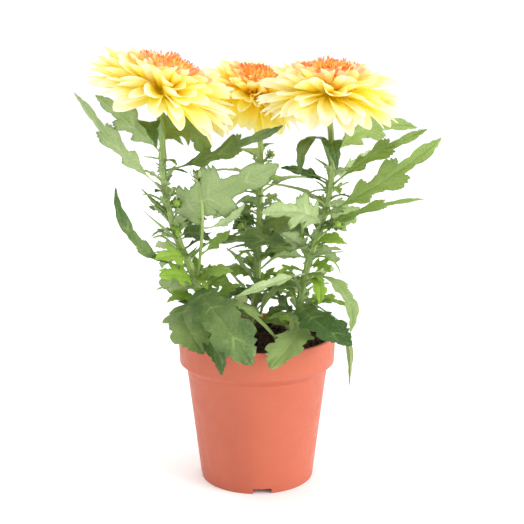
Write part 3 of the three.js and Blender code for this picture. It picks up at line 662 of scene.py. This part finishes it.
def add_tube(pile, path, radii, sides, ribs, rib_depth, kind=(0, 0, 0)):
    first, second = path_axes(path)
    around = np.arange(sides) * 2 * np.pi / sides
    ribbing = 1 + rib_depth * np.cos(ribs * around)
    ring = first[:, None] * np.cos(around)[:, None] + second[:, None] * np.sin(around)[:, None]
    grid = path[:, None] + ring * (radii[:, None] * ribbing)[..., None]
    points = np.vstack([path[:1], grid.reshape(-1, 3), path[-1:]])
    travelled = np.concatenate([[0], np.cumsum(np.linalg.norm(np.diff(path, axis=0), axis=1))])
    place = np.stack(np.broadcast_arrays(
        np.cos(ribs * around)[None, :], travelled[:, None], np.sin(around)[None, :]), -1).reshape(-1, 3)
    place = np.vstack([[[0, 0, 0]], place, [[0, travelled[-1], 0]]])
    pile.add(points, ring_faces(len(path), sides), place, np.full((len(points), 3), kind))


def stem_path(bloom):
    x, y = STEMS[bloom["name"]][0][:2]
    turn, centre = bloom_frame(bloom)
    top = centre + turn @ np.array([0, 0, CORE.bottom - CUP.height])
    points = [(x, y, STEM.foot), (x, y, STEM.straight_top), *STEMS[bloom["name"]], top]
    return smooth_path(points, STEM_STEPS)


def at_height(path, z):
    return np.array([np.interp(z, path[:, 2], path[:, axis]) for axis in range(3)])


# How much a stem swells where a leaf starts, and over what length.
NODE_SWELL = 0.16
NODE_LENGTH = 2.2


def make_stalks(bloom, path, material):
    """The stem with a swelling at each leaf, its side shoots and the cup under the bloom."""
    pile = Pile()
    part = (path[:, 2] - STEM.foot) / (path[-1, 2] - STEM.foot)
    radii = STEM.radius + (STEM.top_radius - STEM.radius) * part
    for leaf in LEAVES[bloom["name"]]:
        if "root" not in leaf:
            radii = radii * (1 + NODE_SWELL * np.exp(-((path[:, 2] - leaf["z"]) / NODE_LENGTH) ** 2))
    add_tube(pile, path, np.minimum(radii, STEM.radius * STEM.swell_limit), **TUBES["stem"])
    for points, _ in SHOOTS[bloom["name"]]:
        shoot = smooth_path(points, SHOOT_STEPS)
        add_tube(pile, shoot, np.full(len(shoot), SHOOT_RADIUS), **TUBES["shoot"])
    add_cup(pile, bloom)
    carry(pile.make("stalks_" + bloom["name"], material), "stem_" + bloom["name"])


def add_cup(pile, bloom):
    turn, centre = bloom_frame(bloom)
    u = np.linspace(0, 1, CUP.rings)
    top = CORE.bottom - GAP
    height = top - CUP.height - CUP.neck + (CUP.height + CUP.neck) * u
    radii = STEM.top_radius + (CUP.radius - STEM.top_radius) * np.sin(np.pi / 2 * u) ** CUP.curve
    path = centre + np.stack([0 * u, 0 * u, height], -1) @ turn.T
    add_tube(pile, path, radii * bloom["scale"], **TUBES["cup"])


# Rings of bracts on a bud: count, rise, and length and height as parts of the bud's radius.
BUD_RINGS = [(6, 62, 2.0, 0.0), (7, 50, 2.2, 0.35), (6, 40, 1.7, -0.2)]
# The round middle of a bud, and the bracts over it.
BUD = Sizes(inside=0.82, ends=(0.02, 0.98), rings=12, tone=0.9)
BRACT = Sizes(lean=50, spread=(0.9, 1.1), width=0.75, peak=0.45, fold=30, fresh=0.35)


def add_bud(pile, points, radius, rng):
    """A round bud with pointed bracts closed over it."""
    heading_there = unit(np.array(points[-1], float) - np.array(points[-2], float))
    base = np.array(points[-1], float)
    turn = np.array(Vector((0, 0, 1)).rotation_difference(Vector(heading_there)).to_matrix())
    u = np.linspace(*BUD.ends, BUD.rings)
    inner = radius * BUD.inside
    path = base + heading_there * (radius - inner * np.cos(np.pi * u))[:, None]
    add_tube(pile, path, inner * np.sin(np.pi * u), **TUBES["bud"], kind=(0, BUD.tone, 1))
    for ring, (count, rise, length, height) in enumerate(BUD_RINGS):
        for i in range(count):
            bract = dict(
                bearing=360 * (i + 0.5 * ring) / count, rise=rise - BRACT.lean,
                droop=-rise - BRACT.lean, length=length * radius * rng.uniform(*BRACT.spread),
                width=BRACT.width * radius, peak=BRACT.peak, hook=0, fold=BRACT.fold,
                root=(0, 0, radius * height))
            kind = (rng.uniform(), BRACT.fresh * ring)
            add_petal(pile, bract, rng, (turn, base), kind, FLORET_ROWS, FLORET_COLUMNS)


# The small leaves, what is drawn for each, and the heights between which they are fresh.
FILLERS = Sizes(count=64, low=110, high=236, length=(44, 20), spread=0.3, breadth=(0.3, 0.5))
FILLER_SPREAD = dict(bearing=(-20, 20), rise=(15, 65), droop=(10, 80), sweep=(-40, 40), roll=(-50, 50))
SPROUTING = (128, 168)


def filler_leaves(rng):
    """Small leaves in the axils of the larger ones, which the solids have no room for: longest low
    down, and fresh at the heights where new shoots sprout."""
    for i in range(FILLERS.count):
        part = (i + rng.uniform()) / FILLERS.count
        z = FILLERS.low + (FILLERS.high - FILLERS.low) * part
        length = np.interp(part, (0, 1), FILLERS.length) * rng.uniform(1 - FILLERS.spread, 1)
        drawn = {key: rng.uniform(*span) for key, span in FILLER_SPREAD.items()}
        drawn["bearing"] += GOLDEN_ANGLE * i
        width = length * rng.uniform(*FILLERS.breadth)
        sprouting = SPROUTING[0] < z < SPROUTING[1]
        fresh = rng.uniform(0.5, 1) if sprouting else rng.uniform() ** 3
        yield dict(drawn, z=z, length=length, width=width, form=LOBED if i % 3 else TOOTHED, fresh=fresh)


def make_foliage(bloom, path, leaf_material):
    pile = Pile()
    rng = np.random.default_rng(bloom["seed"] + 2)
    for leaf in [*LEAVES[bloom["name"]], *filler_leaves(rng)]:
        root = leaf.get("root") or at_height(path, leaf["z"])
        add_leaf(pile, dict(leaf, root=root), rng)
    for points, radius in SHOOTS[bloom["name"]]:
        add_bud(pile, points, radius, rng)
    carry(pile.make("foliage_" + bloom["name"], leaf_material), "stem_" + bloom["name"])


# ---- Pot and soil ----

POT_SIDES = 144
# The radius of a rounded edge, its points, and how often it has to fit into the sides next to it.
EDGE = Sizes(radius=0.35, points=4, fits=2.1)


def rounded(profile):
    """A profile of (radius, height) points with its corners rounded off."""
    points = [np.array(point, float) for point in profile]
    result = [points[0]]
    for before, corner, after in zip(points, points[1:], points[2:]):
        arms = [before - corner, after - corner]
        lengths = [np.linalg.norm(arm) for arm in arms]
        arms = [arm / length for arm, length in zip(arms, lengths)]
        half_angle = math.acos(np.clip(arms[0] @ arms[1], -1, 1)) / 2
        reach = min(EDGE.radius / math.tan(half_angle), min(lengths) / EDGE.fits)
        start, end = (corner + arm * reach for arm in arms)
        for u in np.linspace(0, 1, EDGE.points):
            result.append(start * (1 - u) ** 2 + corner * 2 * u * (1 - u) + end * u ** 2)
    return result + [points[-1]]


def lathe(name, profile, sides):
    """A closed body of revolution; its profile starts and ends on the axis."""
    around = np.arange(sides) * 2 * np.pi / sides
    turn = np.stack([np.cos(around), np.sin(around)], -1)
    rings = [np.column_stack([radius * turn, np.full(sides, height)]) for radius, height in profile[1:-1]]
    points = np.vstack([[[0, 0, profile[0][1]]], *rings, [[0, 0, profile[-1][1]]]])
    faces = [face for group in ring_faces(len(rings), sides) for face in group.tolist()]
    mesh = bpy.data.meshes.new(name)
    mesh.from_pydata((points * MM).tolist(), [], faces)
    return add_object(name, mesh)


def apply_modifiers(piece):
    evaluated = piece.evaluated_get(bpy.context.evaluated_depsgraph_get())
    mesh = bpy.data.meshes.new_from_object(evaluated)
    piece.modifiers.clear()
    piece.data = mesh


def cut(piece, cutters):
    """Takes the cutters away from the piece."""
    for cutter in cutters:
        modifier = piece.modifiers.new("cut", "BOOLEAN")
        modifier.operation = "DIFFERENCE"
        modifier.solver = "EXACT"
        modifier.object = cutter
    apply_modifiers(piece)
    for cutter in cutters:
        bpy.data.objects.remove(cutter)


def wall_radius(z):
    return POT.foot_radius + (POT.step_radius - POT.foot_radius) * z / POT.step_bottom


def pot_profile(floor_top):
    foot_inside = POT.foot_radius - POT.foot_ring
    lip_inside = LIP.radius - LIP.width
    band, step, wall = POT.band_radius, POT.step_radius, POT.wall
    lip_bottom = POT.height - LIP.depth
    return [
        (0, POT.foot_depth), (foot_inside - POT.foot_slope, POT.foot_depth), (foot_inside, 0),
        (POT.foot_radius, 0), (step - POT.ledge, POT.step_bottom - POT.ledge_height),
        (step, POT.step_bottom), (band, POT.band_bottom),
        (band + LIP.flare, lip_bottom - LIP.flare), (LIP.radius, lip_bottom),
        (LIP.radius, POT.height), (lip_inside, POT.height),
        (lip_inside, POT.height - LIP.inside_depth),
        (band - wall, POT.band_bottom + POT.inner_rise),
        (step - wall, POT.step_bottom + POT.inner_rise),
        (wall_radius(floor_top) - wall, floor_top), (0, floor_top),
    ]


def notch_cutter(bearing):
    mesh = bpy.data.meshes.new("notch")
    shape = bmesh.new()
    bmesh.ops.create_cube(shape, size=1)
    size = Matrix.Diagonal((3 * POT.foot_ring, NOTCH.width, 2 * NOTCH.height, 1))
    shape.transform(Matrix.Scale(MM, 4) @ size)
    across = []
    for edge in shape.edges:
        ends = [corner.co.x for corner in edge.verts]
        if abs(ends[0] - ends[1]) > POT.foot_ring * MM:
            across.append(edge)
    bmesh.ops.bevel(
        shape, geom=across, offset=NOTCH.round * MM, segments=NOTCH.round_steps, affect="EDGES",
        profile=0.5)
    place = Matrix.Rotation(math.radians(bearing), 4, "Z")
    place = place @ Matrix.Translation(((POT.foot_radius - POT.foot_ring / 2) * MM, 0, 0))
    shape.transform(place)
    shape.to_mesh(mesh)
    shape.free()
    return add_object("notch", mesh)


def drain_cutter(bearing, floor_top):
    top = floor_top + POT.floor
    piece = lathe("drain", [(0, 0), (DRAIN.radius, 0), (DRAIN.radius, top), (0, top)], DRAIN.sides)
    centre = DRAIN.ring * direction(bearing, 0) * MM
    piece.data.transform(Matrix.Translation(centre.tolist()))
    return piece


def make_pot(material):
    floor_top = POT.foot_depth + POT.floor
    pot = lathe("pot_shell", rounded(pot_profile(floor_top)), POT_SIDES)
    cutters = [notch_cutter(NOTCH.bearing + 360 * i / NOTCH.count) for i in range(NOTCH.count)]
    for i in range(DRAIN.count):
        cutters.append(drain_cutter(NOTCH.bearing + 360 * (i + 0.5) / DRAIN.count, floor_top))
    cut(pot, cutters)
    pot.data.materials.clear()
    dress(pot.data, material, SHARP.pot)
    carry(pot, "pot")


SOIL_RINGS = 44
SOIL_SIDES = 150
# The roughness of the soil's top: its height, the scales of its two noises and the share of the finer.
ROUGH = Sizes(height=0.9, coarse=0.16, fine=0.55, fine_share=0.5)
CRUMBS = Sizes(
    count=620, seed=5, margin=2, size=0.5, growth=2.0, squash=(0.6, 1.3), raised=0.3, finer_from=1.2,
    grain=900, bumps=0.35)


def soil_height(x, y):
    wave = SOIL.bump * math.sin(SOIL.wave[0] * x) * math.cos(SOIL.wave[1] * y)
    return SOIL.level + wave + SOIL.slant * math.sin(SOIL.slant_wave * (x - y))


def make_soil(material):
    """The soil fills the pot from its floor; its rough top has crumbs pressed into it."""
    bottom = POT.foot_depth + POT.floor + GAP
    inset = POT.wall + SOIL.gap
    step_lift = POT.inner_rise + SOIL.gap
    edge = POT.band_radius - inset
    top = [(edge * (1 - i / SOIL_RINGS), SOIL.level) for i in range(1, SOIL_RINGS)]
    profile = [
        (0, bottom), (wall_radius(bottom) - inset, bottom),
        (POT.step_radius - inset, POT.step_bottom + step_lift),
        (edge, POT.band_bottom + step_lift), (edge, SOIL.level - SOIL.edge_drop),
        *top, (0, SOIL.level),
    ]
    soil = lathe("soil_bed", profile, SOIL_SIDES)
    for vertex in soil.data.vertices:
        x, y, z = vertex.co / MM
        if z > SOIL.level - SOIL.edge_drop / 2:
            rough = noise.fractal(Vector((x, y, 3)) * ROUGH.coarse, 1, 2, 4)
            rough += ROUGH.fine_share * noise.noise(Vector((x, y, 9)) * ROUGH.fine)
            vertex.co.z = (soil_height(x, y) + ROUGH.height * rough) * MM
    shape = bmesh.new()
    shape.from_mesh(soil.data)
    rng = np.random.default_rng(CRUMBS.seed)
    for _ in range(CRUMBS.count):
        reach = (edge - CRUMBS.margin) * math.sqrt(rng.uniform())
        x, y, _ = reach * direction(rng.uniform(0, 360), 0)
        size = CRUMBS.size + CRUMBS.growth * rng.uniform() ** 3
        squash = Matrix.Diagonal((*rng.uniform(*CRUMBS.squash, 3), 1))
        turn = Matrix.Rotation(rng.uniform(0, FULL_TURN), 4, Vector(rng.normal(size=3)).normalized())
        place = Matrix.Translation((x * MM, y * MM, (soil_height(x, y) + CRUMBS.raised * size) * MM))
        crumb = bmesh.ops.create_icosphere(
            shape, subdivisions=1 if size < CRUMBS.finer_from else 2, radius=size * MM,
            matrix=place @ turn @ squash)
        for vertex in crumb["verts"]:
            push = vertex.co.normalized() * noise.noise(vertex.co * CRUMBS.grain)
            vertex.co += push * CRUMBS.bumps * size * MM
    shape.to_mesh(soil.data)
    shape.free()
    dress(soil.data, material, SHARP.soil)
    carry(soil, "soil")


# ---- Materials ----

def colour(red, green, blue):
    """A colour of the photograph's kind, 0 to 255, as Blender's linear colour."""
    parts = np.array([red, green, blue]) / 255
    return (*np.where(parts <= 0.04045, parts / 12.92, ((parts + 0.055) / 1.055) ** 2.4).tolist(), 1)


class Nodes:
    """A material's nodes, each made by one call that gives back its output."""

    def __init__(self, name, roughness, specular):
        self.material = bpy.data.materials.new(name)
        self.material.use_nodes = True
        self.tree = self.material.node_tree
        self.shader = self.tree.nodes["Principled BSDF"]
        self.shader.inputs["Roughness"].default_value = roughness
        self.shader.inputs["Specular IOR Level"].default_value = specular

    def node(self, kind, inputs=(), **settings):
        node = self.tree.nodes.new("ShaderNode" + kind)
        for key, value in settings.items():
            setattr(node, key, value)
        for key, value in dict(inputs).items():
            self.set(node.inputs[key], value)
        return node

    def set(self, socket, value):
        if isinstance(value, bpy.types.NodeSocket):
            self.tree.links.new(value, socket)
        else:
            socket.default_value = value

    def math(self, operation, *values, clamp=False):
        return self.node("Math", enumerate(values), operation=operation, use_clamp=clamp).outputs[0]

    def times(self, first, second):
        return self.math("MULTIPLY", first, second)

    def plus(self, first, second):
        return self.math("ADD", first, second)

    def trait(self, name):
        """The three numbers of a mesh trait."""
        vector = self.node("Attribute", attribute_name=name).outputs["Vector"]
        return self.node("SeparateXYZ", {0: vector}).outputs

    def position(self):
        return self.node("TexCoord").outputs["Object"]

    def noise(self, scale, detail, roughness=0.5, vector=None):
        if vector is None:
            vector = self.position()
        inputs = {"Vector": vector, "Scale": scale, "Detail": detail, "Roughness": roughness}
        return self.node("TexNoise", inputs).outputs["Fac"]

    def ramp(self, value, stops, ease=True):
        node = self.node("ValToRGB", {0: value})
        node.color_ramp.interpolation = "EASE" if ease else "LINEAR"
        elements = node.color_ramp.elements
        while len(elements) < len(stops):
            elements.new(0.5)
        for element, (place, shade) in zip(elements, stops):
            element.position = place
            element.color = shade if isinstance(shade, tuple) else (shade, shade, shade, 1)
        return node.outputs["Color"]

    def mix(self, factor, first, second):
        return self.node("Mix", {0: factor, 6: first, 7: second}, data_type="RGBA").outputs[2]

    def paint(self, shade):
        self.set(self.shader.inputs["Base Color"], shade)

    def bump(self, height, distance, strength):
        """Bends the surface's light by a height, over a distance in millimetres."""
        inputs = {"Height": height, "Distance": distance * MM, "Strength": strength}
        self.set(self.shader.inputs["Normal"], self.node("Bump", inputs).outputs[0])

    def let_light_through(self, share, tint):
        """Mixes in light from behind, as thin leaves and petals have it."""
        glow = self.node("BsdfTranslucent", {"Color": tint}).outputs[0]
        mixed = self.node("MixShader", {0: share, 1: self.shader.outputs[0], 2: glow}).outputs[0]
        self.set(self.tree.nodes["Material Output"].inputs["Surface"], mixed)


def leaf_material():
    n = Nodes("leaf", 0.52, 0.35)
    across, along, vein = n.trait("place")
    under, tone, fresh = n.trait("kind")
    off = n.math("ABSOLUTE", across)
    whole = n.math("ROUND", vein)
    side = n.math("ABSOLUTE", n.math("SUBTRACT", vein, whole))
    midrib = n.ramp(off, [(0.0, 1.0), (0.09, 0.0)])
    side_vein = n.times(n.ramp(side, [(0.0, 0.75), (0.07, 0.0)]), n.ramp(off, [(0.2, 1.0), (0.95, 0.0)]))
    stalk = n.ramp(along, [(0.1, 1.0), (0.26, 0.0)])
    veins = n.math("MAXIMUM", n.math("MAXIMUM", midrib, side_vein), stalk)
    cells = n.node("TexVoronoi", {"Vector": n.position(), "Scale": 330.0}, feature="DISTANCE_TO_EDGE")
    net = n.ramp(cells.outputs["Distance"], [(0.0, 1.0), (0.12, 0.0)])
    broad = n.noise(45, 3)
    fine = n.noise(900, 4, 0.65)
    shade = n.math("ADD", n.times(broad, 0.55), n.times(tone, 0.5), clamp=True)
    top = n.ramp(shade, [(0.2, colour(42, 74, 30)), (0.8, colour(152, 173, 104))])
    top = n.mix(fresh, top, colour(146, 182, 54))
    top = n.mix(n.times(veins, 0.62), top, colour(168, 196, 112))
    bottom = n.ramp(shade, [(0.2, colour(156, 180, 116)), (0.8, colour(186, 205, 148))])
    bottom = n.mix(n.times(veins, 0.6), bottom, colour(214, 226, 178))
    green = n.mix(under, top, bottom)
    green = n.mix(n.times(net, 0.16), green, colour(186, 206, 134))
    green = n.mix(n.ramp(fine, [(0.35, 0.28), (0.6, 0.0)]), green, colour(70, 100, 50))
    n.paint(green)
    n.set(n.shader.inputs["Roughness"], n.plus(n.times(under, 0.25), 0.48))
    grooves = n.plus(n.times(veins, -0.6), n.times(net, -0.35))
    n.bump(n.plus(n.noise(700, 3), grooves), 0.35, 0.6)
    n.let_light_through(0.22, colour(168, 205, 72))
    return n.material


def stalk_material():
    n = Nodes("stalk", 0.5, 0.35)
    ridge, _, _ = n.trait("place")
    broad = n.noise(60, 3)
    green = n.ramp(broad, [(0.3, colour(124, 150, 74)), (0.7, colour(156, 180, 104))])
    green = n.mix(n.ramp(ridge, [(0.3, 0.0), (1.0, 0.6)], False), green, colour(190, 206, 144))
    flecks = n.times(n.ramp(n.noise(500, 2), [(0.55, 0.0), (0.75, 1.0)]), 0.3)
    green = n.mix(flecks, green, colour(112, 92, 62))
    n.paint(green)
    n.bump(n.noise(1500, 3), 0.12, 0.5)
    return n.material


def petal_material():
    n = Nodes("petal", 0.62, 0.25)
    across, along, _ = n.trait("place")
    _, tone, blush = n.trait("kind")
    streak_place = n.node("CombineXYZ", {0: n.times(across, 5.0), 1: along, 2: n.times(tone, 40.0)})
    streak = n.noise(2.2, 3, vector=streak_place.outputs[0])
    place = n.plus(along, n.times(n.math("SUBTRACT", streak, 0.5), 0.35))
    place = n.plus(place, n.times(n.math("SUBTRACT", tone, 0.5), 0.16))
    yellow = n.ramp(place, [
        (0.05, colour(255, 250, 58)), (0.26, colour(255, 252, 116)), (0.5, colour(254, 250, 188)),
        (0.9, colour(253, 250, 230))])
    deep = n.times(n.ramp(tone, [(0.0, 0.75), (0.35, 0.0)]), n.ramp(along, [(0.3, 1.0), (1.0, 0.2)]))
    yellow = n.mix(deep, yellow, colour(255, 247, 26))
    flush = n.times(n.ramp(along, [(0.6, 0.0), (1.0, 1.0)]), blush)
    yellow = n.mix(flush, yellow, colour(255, 120, 44))
    n.paint(yellow)
    n.bump(n.plus(streak, n.times(n.noise(1400, 2), 0.3)), 0.25, 0.45)
    n.let_light_through(0.5, yellow)
    return n.material


def floret_material():
    n = Nodes("floret", 0.55, 0.3)
    _, along, _ = n.trait("place")
    _, tone, red = n.trait("kind")
    red_part = n.times(n.ramp(along, [(0.74, 0.0), (1.0, 1.0)]), red)
    tip = n.mix(tone, colour(238, 96, 74), colour(255, 158, 118))
    shade = n.mix(red_part, colour(255, 232, 128), tip)
    n.paint(shade)
    n.bump(n.noise(1400, 2), 0.2, 0.4)
    n.let_light_through(0.4, shade)
    return n.material


def pot_material():
    n = Nodes("terracotta_plastic", 0.5, 0.4)
    cloud = n.noise(22, 4)
    base = n.ramp(cloud, [(0.3, colour(182, 91, 66)), (0.7, colour(187, 96, 69))])
    speck = n.ramp(n.noise(2600, 2), [(0.62, 0.0), (0.78, 0.35)])
    base = n.mix(speck, base, colour(236, 158, 132))
    height = n.node("SeparateXYZ", {0: n.position()}).outputs[2]
    # The lowest 12 mm of the pot, next to the floor, are mottled darker and duller.
    foot_darkening = n.times(n.ramp(height, [(0.0, 0.4), (0.012, 0.0)]), n.ramp(cloud, [(0.4, 0.2), (0.6, 1.0)]))
    base = n.mix(foot_darkening, base, colour(170, 92, 72))
    n.paint(base)
    scuff = n.noise(130, 5, 0.7)
    n.set(n.shader.inputs["Roughness"], n.ramp(scuff, [(0.3, 0.42), (0.7, 0.6)]))
    grain = n.plus(n.noise(3000, 2), n.times(n.noise(60, 2), 3.0))
    n.bump(grain, 0.05, 0.6)
    return n.material


def soil_material():
    n = Nodes("potting_soil", 0.95, 0.1)
    lumps = n.noise(260, 6, 0.7)
    brown = n.ramp(lumps, [(0.3, colour(26, 20, 16)), (0.52, colour(58, 44, 34)), (0.72, colour(98, 76, 58))])
    n.paint(brown)
    n.bump(lumps, 1.2, 0.9)
    return n.material


def floor_material():
    n = Nodes("floor", 0.85, 0.2)
    n.paint(n.ramp(n.noise(3, 2), [(0.0, colour(250, 250, 250)), (1.0, colour(253, 253, 252))]))
    return n.material


# ---- Camera, lights and floor ----

# Places of the lights are in metres.
LIGHTS = table(("name", "place", "angle", "power"), [
    ("key", (1.5, -0.7, 0.9), 35, 2.5),
    ("fill", (-0.6, -1.2, 0.3), 90, 0.3),
    ("top", (-0.3, 0.5, 1.5), 70, 1.3),
])
AMBIENT = 0.9
BACKDROP = 1.05
AIM = Vector((0, 0, 0.17))
BOUNCES = 48
FLOOR_SIZE = 8


def make_world():
    """Soft light from all round, with a white backdrop behind the plant."""
    world = bpy.data.worlds.new("studio")
    world.use_nodes = True
    tree = world.node_tree
    backdrop = tree.nodes["Background"]
    backdrop.inputs["Strength"].default_value = BACKDROP
    ambient = tree.nodes.new("ShaderNodeBackground")
    ambient.inputs["Strength"].default_value = AMBIENT
    for background in (backdrop, ambient):
        background.inputs["Color"].default_value = (1, 1, 1, 1)
    seen = tree.nodes.new("ShaderNodeLightPath").outputs["Is Camera Ray"]
    mixed = tree.nodes.new("ShaderNodeMixShader")
    for socket, source in zip(mixed.inputs, (seen, ambient.outputs[0], backdrop.outputs[0])):
        tree.links.new(source, socket)
    tree.links.new(mixed.outputs[0], tree.nodes["World Output"].inputs["Surface"])
    return world


def make_stage():
    scene = bpy.context.scene
    camera = add_object("camera", bpy.data.cameras.new("camera"))
    camera.location = Vector(CAMERA.place) * MM
    camera.rotation_euler = (math.radians(90 + CAMERA.pitch), 0, math.radians(CAMERA.yaw))
    camera.data.lens = CAMERA.lens
    scene.camera = camera
    for light in LIGHTS:
        lamp = bpy.data.lights.new(light["name"], "SUN")
        lamp.angle = math.radians(light["angle"])
        lamp.energy = light["power"]
        holder = add_object(light["name"], lamp)
        holder.location = light["place"]
        holder.rotation_euler = (AIM - holder.location).to_track_quat("-Z", "Y").to_euler()
    scene.world = make_world()
    scene.view_settings.view_transform = "Standard"
    scene.cycles.max_bounces = BOUNCES
    scene.cycles.diffuse_bounces = BOUNCES
    scene.cycles.transmission_bounces = BOUNCES
    bpy.ops.mesh.primitive_plane_add(size=FLOOR_SIZE, location=(0, 0, 0))
    floor = bpy.context.object
    floor.name = "floor"
    floor.data.materials.append(floor_material())


# ---- The whole plant ----

make_stage()
make_pot(pot_material())
make_soil(soil_material())
leaf_look = leaf_material()
stalk_look = stalk_material()
petal_look = petal_material()
floret_look = floret_material()
for bloom in BLOOMS:
    path = stem_path(bloom)
    make_foliage(bloom, path, leaf_look)
    make_stalks(bloom, path, stalk_look)
    make_bloom(bloom, petal_look)
    make_crown(bloom, floret_look)
